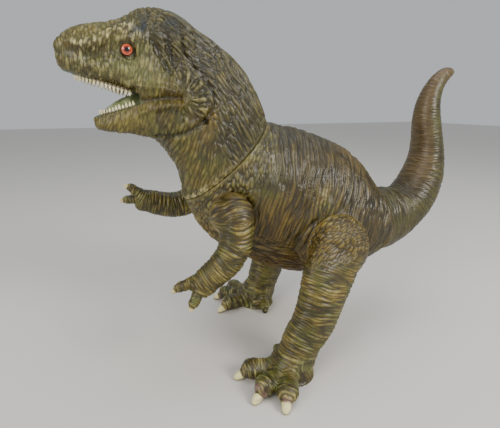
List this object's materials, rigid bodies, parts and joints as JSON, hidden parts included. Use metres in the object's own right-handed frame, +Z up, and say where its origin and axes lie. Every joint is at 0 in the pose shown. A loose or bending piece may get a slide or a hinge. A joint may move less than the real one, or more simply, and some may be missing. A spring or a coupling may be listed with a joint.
{
  "type": "dinosaur figure",
  "caption": "Standing two-legged dinosaur figure in soft vinyl, fibre filled, with an open toothed mouth; head, tail, arms and legs turn on round plug joints.",
  "frame": {"origin": "centre of the figure's footprint box, on the floor", "axes": "+X the way the animal faces, +Y its left side, +Z up"},
  "size_m": [0.373, 0.2146, 0.2942],
  "materials": {
    "vinyl_skin": "satin painted soft vinyl, olive green-brown",
    "fibre_filling": "matt loose fibre",
    "hard_plug": "matt",
    "eye": "gloss",
    "tooth_strip": "satin"
  },
  "bodies": {
    "torso": {"torso_skin": "vinyl_skin", "torso_filling": "fibre_filling"},
    "head": {"head_neck_skin": "vinyl_skin", "head_filling": "fibre_filling", "neck_plug": "hard_plug", "left_eye": "eye", "right_eye": "eye", "upper_teeth": "tooth_strip", "lower_teeth": "tooth_strip"},
    "tail": {"tail_skin": "vinyl_skin", "tail_filling": "fibre_filling", "tail_plug": "hard_plug"},
    "left_arm": {"left_arm_skin": "vinyl_skin", "left_arm_filling": "fibre_filling", "left_shoulder_plug": "hard_plug"},
    "right_arm": {"right_arm_skin": "vinyl_skin", "right_arm_filling": "fibre_filling", "right_shoulder_plug": "hard_plug"},
    "left_leg": {"left_leg_skin": "vinyl_skin", "left_leg_filling": "fibre_filling", "left_hip_plug": "hard_plug"},
    "right_leg": {"right_leg_skin": "vinyl_skin", "right_leg_filling": "fibre_filling", "right_hip_plug": "hard_plug"}
  },
  "joints": [
    {"name": "neck_turn", "type": "hinge", "parent": "torso", "child": "head", "pos_m": [0.065, 0, 0.1825], "axis": [0.6702, 0, 0.7422], "continuous": true},
    {"name": "tail_turn", "type": "hinge", "parent": "torso", "child": "tail", "pos_m": [-0.099, 0, 0.111], "axis": [-0.9956, 0, 0.0933], "continuous": true},
    {"name": "left_shoulder_turn", "type": "hinge", "parent": "torso", "child": "left_arm", "pos_m": [0.072, 0.038, 0.144], "axis": [0, -1, 0], "range_deg": [-45, 75]},
    {"name": "right_shoulder_turn", "type": "hinge", "parent": "torso", "child": "right_arm", "pos_m": [0.072, -0.038, 0.144], "axis": [0, -1, 0], "range_deg": [-100, 20]},
    {"name": "left_hip_turn", "type": "hinge", "parent": "torso", "child": "left_leg", "pos_m": [-0.022, 0.049, 0.107], "axis": [0, -1, 0], "range_deg": [-60, 30]},
    {"name": "right_hip_turn", "type": "hinge", "parent": "torso", "child": "right_leg", "pos_m": [-0.022, -0.049, 0.107], "axis": [0, -1, 0], "range_deg": [-45, 50]}
  ]
}
